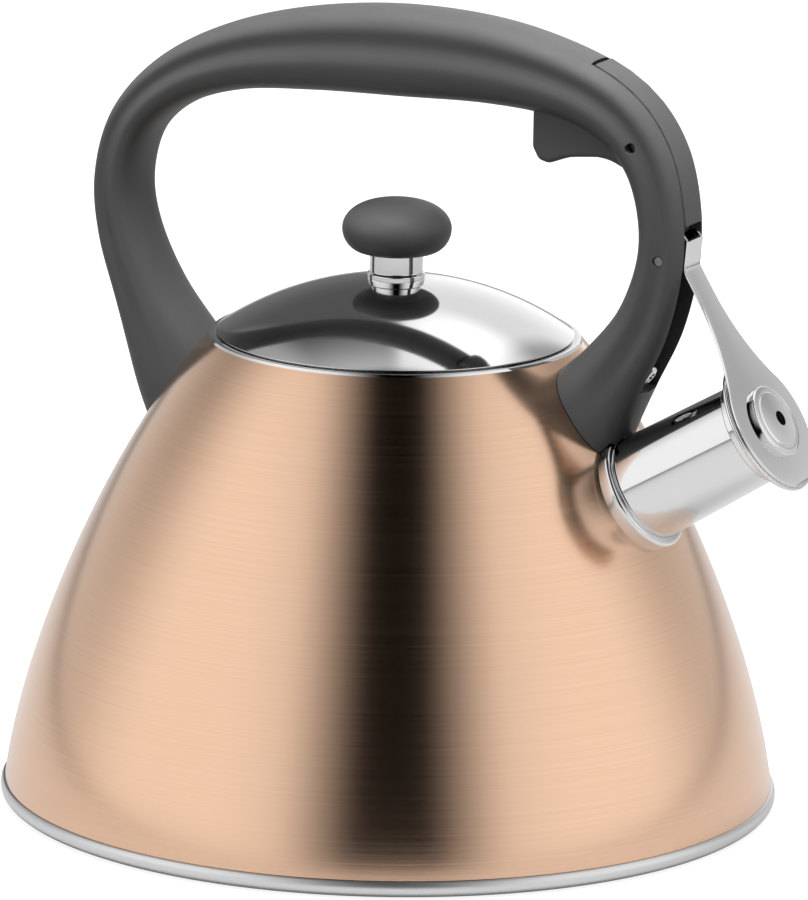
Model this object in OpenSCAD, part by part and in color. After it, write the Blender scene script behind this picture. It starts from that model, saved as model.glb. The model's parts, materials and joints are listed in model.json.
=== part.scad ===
// Stovetop whistling kettle: dome body, fixed loop handle, trigger-opened whistle cap.
// Millimetres. +Z up, origin at the centre of the resting face, spout towards +X.

/* [Body] */
// Outer radius of the silver base bead
base_r = 110; // [100:1:132]
// Height of the dome's top edge above the hob
dome_top_z = 133; // [125:1:160]
// Outer radius of the dome's top edge
neck_r = 52.6; // [50:0.2:60]
// Steel thickness of the dome
shell_t = 0.8; // [0.6:0.1:1.5]
// Radius of the mouth inside the neck ring
mouth_r = 47; // [43:0.5:47.5]
// Radius of the rolled bead's cross-section
bead_r = 2.8; // [2:0.1:3.5]
// Radius of the capsule under the pan
capsule_r = 92; // [80:1:96]

/* [Lid] */
// Height of the lid's dome above its rim
lid_rise = 15.5; // [12:0.5:22]
// Overhang of the lid's rim beyond the mouth
lid_overhang = 3.4; // [2:0.1:5]
// Steel thickness of the lid
lid_t = 0.8; // [0.6:0.1:1.2]
// Depth that the lid's skirt reaches down into the mouth
skirt_depth = 8; // [5:0.5:12]
// Radius of the knob at its widest
knob_r = 15.4; // [12:0.2:18]
// Height of the knob
knob_h = 15; // [12:0.5:18]
// Radius of the chrome collar under the knob
collar_r = 8.1; // [6:0.1:9]
// Height of the chrome collar
collar_h = 7.4; // [5:0.2:12]

/* [Spout] */
// Height at which the spout's axis leaves the dome
spout_z = 97.9; // [92:0.1:104]
// Rise of the spout's axis above level, in degrees
spout_tilt = 31.5; // [26:0.5:36]
// Length of the spout from its ring to its mouth
spout_len = 42.5; // [38:0.5:48]
// Outer radius of the spout at its root
spout_root_r = 15.2; // [14:0.1:17]
// Outer radius of the spout at its mouth
spout_tip_r = 14.2; // [13:0.1:15]
// Steel thickness of the spout
spout_t = 0.9; // [0.7:0.1:1.4]
// Width of the ring bead around the spout's root
ring_w = 2.3; // [1.6:0.1:3]

/* [Whistle cap] */
// Outer radius of the cap's flange
flange_r = 20; // [18.5:0.1:21]
// Length of the cap's skirt over the spout
cap_skirt = 4; // [3:0.1:5]
// Radius of the teardrop plate's round end
plate_r = 19; // [17.5:0.1:20]
// Radius of the whistle's dome
whistle_r = 10.5; // [9:0.1:12]
// Radius of the steam hole in the whistle
steam_r = 2.2; // [1.5:0.1:3]
// Radial gap between the cap's skirt and the spout
cap_gap = 0.9; // [0.7:0.1:1.3]

/* [Handle] */
// Height of the handle loop's centreline above its foot reference
handle_rise = 115; // [105:1:130]
// How far each leg stands out beyond the dome at its foot
handle_reach = 20.4; // [16:0.2:24]
// Half width of the grip across the kettle
grip_w = 12; // [11:0.2:14]
// Half width of the mechanism's slot
slot_w = 5.6; // [5.5:0.1:6]
// Half width of the pocket that the trigger lifts into
pocket_w = 7.5; // [7.2:0.1:8]

/* [Mechanism] */
// Radius of the hinge pins
pin_r = 1.4; // [1.2:0.1:1.6]
// Radial running gap on the hinge pins
pin_gap = 0.05; // [0.03:0.01:0.08]
// Radius of the link pin
link_r = 1.2; // [1:0.1:1.4]
// Distance from the arm's pin to the link pin
link_arm = 9; // [8.5:0.1:9.5]
// Angle of the link pin above level at rest, in degrees
link_angle = 86; // [84:1:88]
// Half width of the arm's strip
strip_w = 5; // [4.8:0.1:5.1]
// Thickness of the arm's steel
arm_t = 1; // [0.8:0.1:1.2]
// Half width of the trigger's pad
pad_w = 6.9; // [6.5:0.1:7]
// Half width of the trigger's tail
tail_w = 3; // [2.6:0.1:3.2]

/* [Hidden] */
$fn = 96;

copper = [0.80, 0.60, 0.46];
steel = [0.80, 0.80, 0.81];
plastic = [0.27, 0.27, 0.28];
touch = 0.02;            // how far a cutter runs past the face that it cuts
seat_gap = 0.2;          // gap between pieces that lie against each other
slide_gap = 0.6;         // gap between pieces that slide or swing past each other

// ---- curves ----
function bez(a, b, c, d, u) =
    pow(1 - u, 3) * a + 3 * pow(1 - u, 2) * u * b + 3 * (1 - u) * u * u * c + pow(u, 3) * d;
function unit(v) = v / norm(v);
function left_of(v) = [-v[1], v[0]];
function turned(p, deg) = [p[0] * cos(deg) - p[1] * sin(deg), p[0] * sin(deg) + p[1] * cos(deg)];
function catmull(p, i, u) =
    let (a = p[max(i - 1, 0)], b = p[i], c = p[i + 1], d = p[min(i + 2, len(p) - 1)])
    0.5 * (2 * b + (c - a) * u + (2 * a - 5 * b + 4 * c - d) * u * u
           + (3 * b - a - 3 * c + d) * u * u * u);
function along(p, s) = let (i = min(floor(s), len(p) - 2)) catmull(p, i, s - i);

// ---- dome ----
dome_z0 = 2 * bead_r - 0.4;              // lower edge of the dome, in the bead's rebate
dome_r0 = base_r - 1.2;
dome_h = dome_top_z - dome_z0;
dome_foot = [dome_r0, dome_z0];
dome_low = [base_r - 6, dome_z0 + 0.304 * dome_h];
dome_high = [base_r - 31, dome_z0 + 0.757 * dome_h];
dome_edge = [neck_r, dome_top_z];
dome_steps = 22;
function dome_pt(u) = bez(dome_foot, dome_low, dome_high, dome_edge, u);
function dome_dir(u) = unit(dome_pt(min(u + 0.01, 1)) - dome_pt(max(u - 0.01, 0)));
function dome_in(u, t) = dome_pt(u) + t * left_of(dome_dir(u));
// Parameter of the dome curve at height z, by halving the interval
function dome_u(z, lo = 0, hi = 1, n = 20) =
    n == 0 ? (lo + hi) / 2
    : let (m = (lo + hi) / 2) dome_pt(m)[1] < z ? dome_u(z, m, hi, n - 1) : dome_u(z, lo, m, n - 1);
function dome_r(z) = dome_pt(dome_u(z))[0];

// Solid space filled by the dome, swollen by a gap; used to trim what stands on it
module dome_space(gap = 0) {
    rotate_extrude()
        polygon(concat([[0, dome_top_z], [0, dome_z0]],
                       [for (i = [0:dome_steps]) dome_in(i / dome_steps, -gap)]));
}

// ---- base ----
pan_z = 2.2;                              // underside of the pan's floor
pan_t = 1;
capsule_t = 0.6;
plate_t = pan_z - capsule_t;

// ---- lid ----
ring_top_z = dome_top_z + 0.8;
lid_rim_r = mouth_r + lid_overhang;
lid_rim_z = ring_top_z + 0.7;
lid_ball_r = (lid_rim_r * lid_rim_r + lid_rise * lid_rise) / (2 * lid_rise);
lid_ball_z = lid_rim_z + lid_rise - lid_ball_r;
lid_top_z = lid_rim_z + lid_rise;
lid_half = asin(lid_rim_r / lid_ball_r);
skirt_r = mouth_r - slide_gap;
knob_hole_r = 2.1;
function lid_z(r, t = 0) = lid_ball_z + sqrt(pow(lid_ball_r - t, 2) - r * r);

// ---- spout frame: u runs along the spout's axis from the ring's plane ----
ring_stand = 1.1;                         // ring's plane stands this far off the dome
spout_x = dome_r(spout_z) + ring_stand;
spout_dir = [cos(spout_tilt), sin(spout_tilt)];
plate_up = [-sin(spout_tilt), cos(spout_tilt)];
module on_spout(u = 0) {
    translate([spout_x, 0, spout_z]) rotate([0, 90 - spout_tilt, 0]) translate([0, 0, u]) children();
}
cap_u = spout_len + 1.4;                  // inner face of the cap's floor
cap_floor = 0.8;
plate_u = cap_u + cap_floor;              // back face of the teardrop plate
plate_c = [spout_x, spout_z] + plate_u * spout_dir;
cap_bore_r = spout_tip_r + cap_gap;
ring_r = spout_root_r + ring_w;

// ---- handle frame: stations are [x, height above the foot reference, half thickness, half width] ----
foot_z = dome_top_z - 33;
leg_x = dome_r(foot_z + 17) + handle_reach;
scale_x = leg_x / 85.5;
scale_z = handle_rise / 115;
scale_w = grip_w / 12;
function on_handle(x, z) = [x * scale_x, foot_z + z * scale_z];
stations = [for (q = [
    [-57, 0, 16, 15], [-66.8, 17, 13.6, 14.2], [-77.8, 37.5, 8.8, 12.8], [-85.2, 56, 7.1, 12.1],
    [-86.8, 72, 6.6, 12], [-81.8, 88, 6.8, 12], [-69, 100.4, 7.9, 12], [-50, 108.6, 9.6, 12],
    [-26, 113, 11.7, 12], [2, 115, 12.8, 12], [30, 114.7, 11.8, 12], [54, 110.8, 9.9, 12],
    [70, 103.6, 9, 12], [79.6, 92.6, 8, 12], [84, 78, 7.3, 12], [84, 63, 7.4, 12],
    [79, 46, 8.6, 12.3], [70.1, 31.5, 10.6, 13.2], [60.8, 18.5, 14, 14.6], [50, 2, 17.5, 15.2]])
    concat(on_handle(q[0], q[1]), [q[2], q[3] * scale_w])];
last_s = len(stations) - 1;
function mid(s) = let (q = along(stations, s)) [q[0], q[1]];
function half_t(s) = along(stations, s)[2];
function half_w(s) = along(stations, s)[3];
function forward(s) = unit(mid(min(s + 0.02, last_s)) - mid(max(s - 0.02, 0)));
function outward(s) = left_of(forward(s));
function offset_pt(s, d) = mid(s) + d * outward(s);
// Points along the handle between two stations, a fixed depth under its outer face
function under_outer(s0, s1, depth, n) =
    [for (i = [0:n]) let (s = s0 + (s1 - s0) * i / n) offset_pt(s, half_t(s) - depth)];
function reversed(p) = [for (i = [len(p) - 1:-1:0]) p[i]];

// Prism across the kettle: a polygon in the X-Z plane, half width w each side of Y = 0
module across(w) {
    rotate([90, 0, 0]) linear_extrude(height = 2 * w, center = true) children();
}
// Cylinder across the kettle through a point of the X-Z plane
module cross_pin(p, r, w) {
    translate([p[0], 0, p[1]]) rotate([90, 0, 0]) cylinder(r = r, h = 2 * w, center = true, $fn = 48);
}
// Moves children so that their Z axis points out of the handle at station s
module at_station(s, d) {
    o = outward(s);
    p = offset_pt(s, d);
    translate([p[0], 0, p[1]]) rotate([0, 90 - atan2(o[1], o[0]), 0]) children();
}

// ---- mechanism ----
trigger_hub = on_handle(76.7, 96.5);
arm_hub = on_handle(85.6, 65.6);
link_rest = arm_hub + link_arm * [cos(link_angle), sin(link_angle)];
tail_dir = unit(link_rest - trigger_hub);
tail_len = norm(link_rest - trigger_hub);
fork_r = link_r + 1.5;                    // half width of the tail's slotted end
link_slot_gap = 0.3;
ear_t = arm_t;
ear_y = strip_w - ear_t;                  // inner face of each ear
fold_pt = arm_hub + [5.7, 5.4];           // top of the strip, at the slot's mouth
bend_z = arm_hub[1] - 2.8;                // height at which strip meets plate
bend_up = (bend_z - plate_c[1]) / plate_up[1];
bend_pt = plate_c + bend_up * plate_up;
cover_s0 = 11.25;
cover_s1 = 14.25;
cover_t = 2.2;
screw_s = 16.75;                          // station of the screw in each leg, front
rear_screw_s = 2.1;
front_foot_s = 18.3;                      // station towards which each bracket runs, front
rear_foot_s = 0.7;
screw_head_r = 3.4;
screw_head_h = 2.2;
screw_r = 2;
bracket_t = 3;
bracket_w = 6;

module body_shell() color(copper) {
    difference() {
        rotate_extrude()
            polygon(concat([for (i = [0:dome_steps]) dome_in(i / dome_steps, 0)],
                           [for (i = [dome_steps:-1:0]) dome_in(i / dome_steps, shell_t)]));
        on_spout(-15) cylinder(r = spout_root_r, h = 30);
    }
}

module neck_ring() color(steel) {
    lip = 0.8;
    edge = dome_in(1, shell_t);
    rotate_extrude()
        polygon([[mouth_r, edge[1] - 3], [mouth_r + lip, edge[1] - 3], [mouth_r + lip, edge[1] - lip],
                 edge, dome_edge, [neck_r - 0.4, ring_top_z], [mouth_r, ring_top_z]]);
}

module base_pan() color(steel) {
    c = [base_r - bead_r, bead_r + 0.3];
    rotate_extrude() {
        difference() {
            union() {
                translate(c) circle(r = bead_r, $fn = 48);
                translate([0, pan_z]) square([base_r - bead_r, pan_t]);
            }
            // rebate that the dome's lower edge stands in
            translate([dome_r0 - shell_t - 0.1, dome_z0 - 0.15]) square([shell_t + 0.4, bead_r]);
        }
    }
}

module heat_plate() color([0.7, 0.7, 0.72])
    translate([0, 0, pan_z - plate_t]) cylinder(r = capsule_r - 1, h = plate_t);

module base_capsule() color(steel) {
    difference() {
        cylinder(r = capsule_r, h = pan_z);
        translate([0, 0, capsule_t]) cylinder(r = capsule_r - 1, h = pan_z);
    }
}

module spout_tube() color(steel) {
    root = -4;
    straight = 1;
    on_spout() rotate_extrude()
        polygon([[spout_root_r - spout_t, root], [spout_root_r, root], [spout_root_r, straight],
                 [spout_tip_r, spout_len], [spout_tip_r - spout_t, spout_len],
                 [spout_root_r - spout_t, straight]]);
}

module spout_ring() color(steel) {
    bead = ring_w / 2;
    difference() {
        on_spout() rotate_extrude() {
            translate([spout_root_r, -5]) square([ring_w, 5.4]);
            translate([ring_r - bead, 0.4]) circle(r = bead, $fn = 32);
            translate([spout_root_r, 0]) square([bead, 0.4 + bead]);
        }
        dome_space();
    }
}

// Steel tongue welded to the dome, inside a foot of the handle
module bracket(s, foot_s) {
    p = mid(s);
    q = mid(foot_s);
    d = unit(p - q);
    n = left_of(d);
    top = p + 5 * d;
    difference() {
        across(bracket_w)
            polygon([top + bracket_t / 2 * n, top - bracket_t / 2 * n,
                     q - bracket_t / 2 * n, q + bracket_t / 2 * n]);
        dome_space();
        at_station(s, -10) cylinder(r = screw_r, h = 20, $fn = 32);
    }
}
module front_bracket() color(steel) bracket(screw_s, front_foot_s);
module rear_bracket() color(steel) bracket(rear_screw_s, rear_foot_s);

// Space that a bracket needs inside the handle
module bracket_pocket(s, foot_s) {
    p = mid(s);
    q = mid(foot_s);
    d = unit(p - q);
    n = left_of(d);
    top = p + (5 + seat_gap) * d;
    far = q - 16 * d;
    h = bracket_t / 2 + seat_gap;
    across(bracket_w + seat_gap)
        polygon([top + h * n, top - h * n, far - h * n, far + h * n]);
}

// The loop's outline, as wide as the grip, with narrower flanks that round its edges off
module handle_loop() {
    n = 64;
    for (q = [[grip_w - 3, 0], [grip_w, 2.4]])
        across(q[0]) polygon(concat(
            [for (i = [0:n]) let (s = last_s * i / n) offset_pt(s, half_t(s) - q[1])],
            [for (i = [n:-1:0]) let (s = last_s * i / n) offset_pt(s, q[1] - half_t(s))]));
}

// Outline of the trigger, in the X-Z plane
pad_outline = [for (q = [[44.6, 104.5], [44.6, 93], [46.5, 89.8], [49.4, 88.8], [54.4, 90.4],
                         [61.3, 92.2], [67, 92], [71.3, 90.6], [75.8, 88.2]]) on_handle(q[0], q[1])];
hub_r = 4.6;
module trigger_profile() {
    polygon(concat(pad_outline, [for (a = [-60:12:108]) trigger_hub + hub_r * [cos(a), sin(a)]],
                   [on_handle(68, 102.8), on_handle(58, 104.6)]));
}
// Strip of half width w between two points along the tail, with a round far end
module tail_strip(a, b, w, round_near = false) {
    n = left_of(tail_dir);
    polygon(concat(
        [for (i = [-90:15:90]) b + w * (cos(i) * tail_dir + sin(i) * n)],
        round_near ? [for (i = [90:15:270]) a + w * (cos(i) * tail_dir + sin(i) * n)]
                   : [a + w * n, a - w * n]));
}

module trigger() color(plastic) {
    difference() {
        union() {
            across(pad_w) trigger_profile();
            across(tail_w) tail_strip(trigger_hub, link_rest, fork_r - 0.7);
            across(tail_w) tail_strip(link_rest - 3.6 * tail_dir, link_rest + 0.5 * tail_dir, fork_r, true);
        }
        cross_pin(trigger_hub, pin_r + pin_gap, pad_w + 1);
        // slot for the link pin, along the tail
        across(tail_w + 1)
            tail_strip(link_rest - 1.4 * tail_dir, link_rest + 0.2 * tail_dir,
                       link_r + link_slot_gap, true);
    }
}

// Pocket in the grip's underside that the trigger's pad swings up into
module trigger_pocket() {
    across(pocket_w) {
        polygon([on_handle(43.8, 85), on_handle(43.8, 105.5), on_handle(46, 111.6),
                 on_handle(52, 112), on_handle(66, 107.5), on_handle(74, 103),
                 trigger_hub + [hub_r + 1, 0], on_handle(80.5, 90), on_handle(76, 85)]);
        translate(trigger_hub) circle(r = hub_r + slide_gap, $fn = 48);
    }
}

// Channel along the handle's outer face, its depth running evenly from d0 to d1
module channel(s0, s1, d0, d1, w, n) {
    floor_pts = [for (i = [0:n]) let (s = s0 + (s1 - s0) * i / n)
        offset_pt(s, half_t(s) - d0 - (d1 - d0) * i / n)];
    across(w) polygon(concat(under_outer(s0, s1, -6, n), reversed(floor_pts)));
}
// Open slot in the front leg for the arm's ears and the trigger's tail
module mechanism_slot() {
    slot_depth = 13.6;
    shallow_from = 15.4;
    shallow = 6;
    channel(12.85, shallow_from, slot_depth, slot_depth, slot_w, 8);
    channel(shallow_from - touch, 16.95, slot_depth, shallow, slot_w, 5);
}

module handle() color(plastic) {
    difference() {
        handle_loop();
        dome_space(seat_gap);
        on_spout(-12) cylinder(r = ring_r + seat_gap, h = 12 + ring_w);
        on_spout(-12) cylinder(r = spout_root_r + seat_gap, h = 40);
        trigger_pocket();
        mechanism_slot();
        // groove that the cover strip lies in
        channel(cover_s0, 14.6, cover_t, cover_t, slot_w, 9);
        cross_pin(trigger_hub, pin_r + pin_gap, 30);
        cross_pin(arm_hub, pin_r + pin_gap, 30);
        bracket_pocket(screw_s, front_foot_s);
        bracket_pocket(rear_screw_s, rear_foot_s);
        at_station(screw_s, bracket_t / 2) screw_space();
        at_station(rear_screw_s, bracket_t / 2) screw_space();
    }
}

// Room for a screw that stands on a bracket's face
head_seat = 2.4;
module screw_space() {
    translate([0, 0, -10]) cylinder(r = screw_r + seat_gap, h = 30, $fn = 32);
    translate([0, 0, head_seat]) cylinder(r = screw_head_r + seat_gap, h = 20, $fn = 48);
}

module handle_cover() color(plastic)
    across(slot_w - seat_gap)
        polygon(concat(under_outer(cover_s0 + 0.05, cover_s1, 0, 9),
                       reversed(under_outer(cover_s0 + 0.05, cover_s1, cover_t - 0.1, 9))));

module screw() {
    rotate_extrude($fn = 48)
        polygon([[0, head_seat + screw_head_h - 0.5], [0, -6], [screw_r, -6], [screw_r, head_seat],
                 [screw_head_r, head_seat], [screw_head_r, head_seat + 1.2],
                 [screw_head_r - 1, head_seat + screw_head_h], [1.2, head_seat + screw_head_h]]);
}
module handle_screws() color(steel) {
    at_station(screw_s, bracket_t / 2) screw();
    at_station(rear_screw_s, bracket_t / 2) screw();
}

module trigger_pin() color(steel) cross_pin(trigger_hub, pin_r, grip_w - 2.4);
module arm_pin() color(steel) cross_pin(arm_hub, pin_r, grip_w - 0.9);

// Torsion spring round the arm's pin, with one leg behind the strip and one on the slot's floor
module return_spring() color(steel) {
    wire = 0.4;
    coil_r = pin_r + pin_gap + wire + 0.15;
    turns = 6;
    around = 6;
    per_turn = 14;
    rings = turns * per_turn;
    pitch = 2 * wire + 0.08;
    leg = 4.2;
    route = concat(
        [[-coil_r, -turns * pitch / 2, -leg]],
        [for (i = [0:rings]) let (a = 180 + 360 * i / per_turn)
            [coil_r * cos(a), (i / per_turn - turns / 2) * pitch, coil_r * sin(a)]],
        [[-coil_r, turns * pitch / 2, leg]]);
    n = len(route);
    points = [for (i = [0:n - 1], j = [0:around - 1])
        let (t = route[min(i + 1, n - 1)] - route[max(i - 1, 0)],
             d = t / norm(t),
             side = cross([0, 1, 0], d) / norm(cross([0, 1, 0], d)),
             up = cross(d, side),
             a = 360 * j / around)
        route[i] + wire * (cos(a) * side + sin(a) * up)];
    faces = [for (i = [0:n - 2], j = [0:around - 1])
        let (k = (j + 1) % around, a = i * around + j, b = i * around + k)
        each [[a, b + around, b], [a, a + around, b + around]]];
    ends = [[for (j = [0:around - 1]) j], [for (j = [around - 1:-1:0]) (n - 1) * around + j]];
    translate([arm_hub[0], 0, arm_hub[1]]) polyhedron(points, concat(faces, ends));
}

// Shell of the lid, its rim turned in to a rounded hem
module lid_dome() color(steel) {
    steps = 16;
    in_r = lid_ball_r - lid_t;
    in_half = asin((lid_rim_r - 1.2) / in_r);
    difference() {
        rotate_extrude()
            polygon(concat(
                [for (i = [0:steps]) let (a = lid_half * i / steps)
                    [lid_ball_r * sin(a), lid_ball_z + lid_ball_r * cos(a)]],
                [for (q = [[-0.1, -0.3], [-0.4, -0.5], [-0.8, -0.45]]) [lid_rim_r + q[0], lid_rim_z + q[1]]],
                [for (i = [steps:-1:0]) let (a = in_half * i / steps)
                    [in_r * sin(a), lid_ball_z + in_r * cos(a)]]));
        translate([0, 0, lid_top_z - 5]) cylinder(r = knob_hole_r, h = 10);
    }
}

// Ring that lies on the neck, with the wall that centres the lid in the mouth
module lid_skirt() color(steel) {
    z = ring_top_z + 0.1;
    t = 0.6;
    out_r = lid_rim_r - 1.6;
    rotate_extrude()
        polygon([[skirt_r - t, z - skirt_depth], [skirt_r, z - skirt_depth], [skirt_r, z],
                 [out_r, z], [out_r, z + t], [skirt_r - t, z + t]]);
}

washer_z = lid_z(6, lid_t) - 0.8;
module knob_washer() color(steel) {
    difference() {
        translate([0, 0, washer_z]) cylinder(r = 6, h = 0.8);
        translate([0, 0, washer_z - 1]) cylinder(r = knob_hole_r, h = 3);
    }
}

knob_z = lid_top_z + collar_h;
thread_r = 2;
module knob_screw() color(steel) {
    translate([0, 0, washer_z]) cylinder(r = thread_r, h = knob_z + 8 - washer_z);
    difference() {
        translate([0, 0, washer_z - 2.2]) cylinder(r = 3.6, h = 2.2);
        translate([0, 0, washer_z - 2.3]) cylinder(r = 1.8, h = 1.3, $fn = 6);
    }
}

module knob_collar() color(steel) {
    gap = 0.08;
    edge_z = lid_z(collar_r) + gap;
    rotate_extrude()
        polygon([[knob_hole_r, lid_z(knob_hole_r) + gap], [collar_r, edge_z],
                 [collar_r, edge_z + 1.6], [collar_r - 0.4, edge_z + 2],
                 [collar_r - 0.6, knob_z], [knob_hole_r, knob_z]]);
}

module knob() color(plastic) {
    waist = collar_r + 1;
    wide_z = 0.45 * knob_h;
    steps = 10;
    lower = [for (i = [0:steps]) let (a = -90 + 90 * i / steps)
        [waist + (knob_r - waist) * cos(a), knob_z + wide_z + wide_z * sin(a)]];
    upper = [for (i = [1:steps]) let (a = 90 * i / steps)
        [knob_r * pow(cos(a), 0.8), knob_z + wide_z + (knob_h - wide_z) * sin(a)]];
    rotate_extrude() difference() {
        polygon(concat([[0, knob_z]], lower, upper));
        translate([-1, knob_z - 1]) square([1 + thread_r, 9.5]);
    }
}

// Flat steel arm: teardrop plate, strip and two ears
module teardrop() {
    neck_s = bend_up - 8;                 // where the sides start to spread
    fillet = (neck_s * neck_s + strip_w * strip_w - plate_r * plate_r) / (2 * (plate_r - strip_w));
    // points where the concave sides touch the round end
    c = [neck_s, strip_w + fillet];
    start = atan2(c[1], c[0]);
    steps = 12;
    edge = [for (i = [0:steps]) let (a = -90 - (90 - start) * i / steps)
        c + fillet * [cos(a), sin(a)]];
    circle(r = plate_r);
    polygon(concat([[0, 0]], [for (p = reversed(edge)) [p[0], -p[1]]],
                   [[bend_up, -strip_w], [bend_up, strip_w]], edge));
}

module arm_plate() color(steel) {
    n = spout_dir;
    up = plate_up;
    s = unit(fold_pt - bend_pt);
    sn = [s[1], -s[0]];
    difference() {
        union() {
            // teardrop, lying square to the spout
            on_spout(plate_u) rotate([0, 0, 180]) linear_extrude(height = arm_t) teardrop();
            // strip from the bend up to the slot's mouth
            across(strip_w)
                polygon([bend_pt - 0.6 * up, bend_pt + arm_t * n - 0.6 * up, bend_pt + arm_t * n,
                         fold_pt + arm_t * sn, fold_pt, bend_pt]);
            ear_pair();
        }
        cross_pin(arm_hub, pin_r + pin_gap, strip_w + 1);
        cross_pin(link_rest, link_r, strip_w + 1);
        on_spout(plate_u - 1) cylinder(r = whistle_r - 2.5, h = 4);
    }
}
ear_r = 3;
module ear_pair() {
    for (y = [-1, 1]) translate([0, y * (ear_y + ear_t / 2), 0]) across(ear_t / 2) {
        polygon([arm_hub + turned([ear_r, 0], 215), bend_pt + [0.3, 0.4], fold_pt + [0.5, 0],
                 link_rest + turned([ear_r - 0.9, 0], 20), link_rest + turned([ear_r - 0.9, 0], 180),
                 arm_hub + turned([ear_r, 0], 165)]);
        translate(arm_hub) circle(r = ear_r, $fn = 48);
        translate(link_rest) circle(r = ear_r - 0.9, $fn = 32);
    }
}

module link_pin() color(steel) cross_pin(link_rest, link_r, strip_w);

module cap_cup() color(steel) {
    skirt_t = 0.9;
    roll = 0.5;
    on_spout() rotate_extrude() difference() {
        union() {
            translate([0, cap_u]) square([flange_r - roll, cap_floor]);
            translate([cap_bore_r, cap_u - cap_skirt]) square([skirt_t, cap_skirt + cap_floor]);
            translate([flange_r - roll, cap_u + cap_floor - roll]) circle(r = roll, $fn = 24);
        }
        translate([-1, cap_u - 1]) square([1 + steam_r + 0.8, cap_floor + 2]);
    }
}

module whistle_disc() color(steel)
    on_spout(plate_u) difference() {
        cylinder(r = whistle_r - 2.5 - touch, h = 0.6);
        translate([0, 0, -1]) cylinder(r = steam_r, h = 3);
    }

// Arc of the whistle's crown, as points from its axis out to its wall
whistle_rise = 3;
whistle_wall = 1.6;
whistle_z0 = plate_u + arm_t;
crown_r = whistle_r - 0.4;
crown_rise = whistle_rise - whistle_wall;
crown_ball = (crown_r * crown_r + crown_rise * crown_rise) / (2 * crown_rise);
function crown(r, steps = 8) = [for (i = [0:steps])
    let (a = asin(crown_r / crown_ball) * i / steps)
    [r * sin(a), whistle_z0 + whistle_rise - crown_ball + r * cos(a)]];

module whistle_dome() color(steel) {
    t = 0.6;
    top = whistle_z0 + whistle_wall;
    on_spout() rotate_extrude() difference() {
        polygon(concat(crown(crown_ball),
                       [[whistle_r, top - 0.4], [whistle_r, whistle_z0],
                        [whistle_r - t, whistle_z0], [whistle_r - t, top - t]],
                       reversed(crown(crown_ball - t))));
        translate([-1, whistle_z0 - 1]) square([1 + steam_r, whistle_rise + 3]);
    }
}

body_shell();
neck_ring();
base_pan();
heat_plate();
base_capsule();
spout_tube();
spout_ring();
front_bracket();
rear_bracket();
handle();
handle_cover();
handle_screws();
trigger_pin();
arm_pin();
return_spring();
lid_dome();
lid_skirt();
knob_washer();
knob_screw();
knob_collar();
knob();
trigger();
arm_plate();
link_pin();
cap_cup();
whistle_disc();
whistle_dome();
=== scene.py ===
import json
import math

import bmesh
import bpy
import numpy as np
from mathutils import Matrix, Vector


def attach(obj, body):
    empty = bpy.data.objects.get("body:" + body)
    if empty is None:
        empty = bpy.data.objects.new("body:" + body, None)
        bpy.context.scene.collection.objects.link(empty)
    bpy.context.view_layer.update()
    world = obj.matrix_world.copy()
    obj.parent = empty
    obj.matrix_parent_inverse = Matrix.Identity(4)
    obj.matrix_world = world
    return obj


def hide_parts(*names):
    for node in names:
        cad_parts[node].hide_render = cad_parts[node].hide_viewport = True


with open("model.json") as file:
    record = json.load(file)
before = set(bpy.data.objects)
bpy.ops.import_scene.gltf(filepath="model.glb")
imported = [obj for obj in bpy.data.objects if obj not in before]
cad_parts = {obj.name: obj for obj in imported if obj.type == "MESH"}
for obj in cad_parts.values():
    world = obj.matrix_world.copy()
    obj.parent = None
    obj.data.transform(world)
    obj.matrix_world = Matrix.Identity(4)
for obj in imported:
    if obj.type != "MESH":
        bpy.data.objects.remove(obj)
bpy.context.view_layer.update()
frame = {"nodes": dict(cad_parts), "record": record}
mm = 0.001

# camera: where it stands, in degrees round and above the kettle, and what it looks at
cameraPlace = {"turn": 26.0, "rise": 13.3, "distance": 2.5, "roll": 0.95, "lens": 354.8, "sensor": 36,
               "aim": (0.00270, 0.00131, 0.1002)}


def addCamera():
    turn, rise, roll = (math.radians(cameraPlace[k]) for k in ("turn", "rise", "roll"))
    back = Vector((math.sin(turn) * math.cos(rise), -math.cos(turn) * math.cos(rise), math.sin(rise)))
    level = Vector((math.cos(turn), math.sin(turn), 0))
    above = back.cross(level)
    right = level * math.cos(roll) + above * math.sin(roll)
    up = above * math.cos(roll) - level * math.sin(roll)
    data = bpy.data.cameras.new("camera")
    data.sensor_width, data.lens = cameraPlace["sensor"], cameraPlace["lens"]
    camera = bpy.data.objects.new("camera", data)
    bpy.context.scene.collection.objects.link(camera)
    axes = Matrix((right, up, back)).transposed().to_4x4()
    place = Vector(cameraPlace["aim"]) + back * cameraPlace["distance"]
    camera.matrix_world = Matrix.Translation(place) @ axes
    bpy.context.scene.camera = camera


addCamera()
print("camera placed")


# a socket that takes part in Python sums; numbers and other sockets mix freely
class Wire:
    def __init__(self, tree, socket):
        self.tree, self.socket = tree, socket

    def node(self, kind, values=None, output=0, **settings):
        return makeNode(self.tree, kind, values, output, **settings)

    def math(self, operation, a, b=None):
        values = {0: a} if b is None else {0: a, 1: b}
        return self.node("ShaderNodeMath", values, operation=operation)

    def __add__(self, other):
        return self.math("ADD", self, other)

    def __radd__(self, other):
        return self.math("ADD", other, self)

    def __sub__(self, other):
        return self.math("SUBTRACT", self, other)

    def __rsub__(self, other):
        return self.math("SUBTRACT", other, self)

    def __mul__(self, other):
        return self.math("MULTIPLY", self, other)

    def __rmul__(self, other):
        return self.math("MULTIPLY", other, self)


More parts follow.
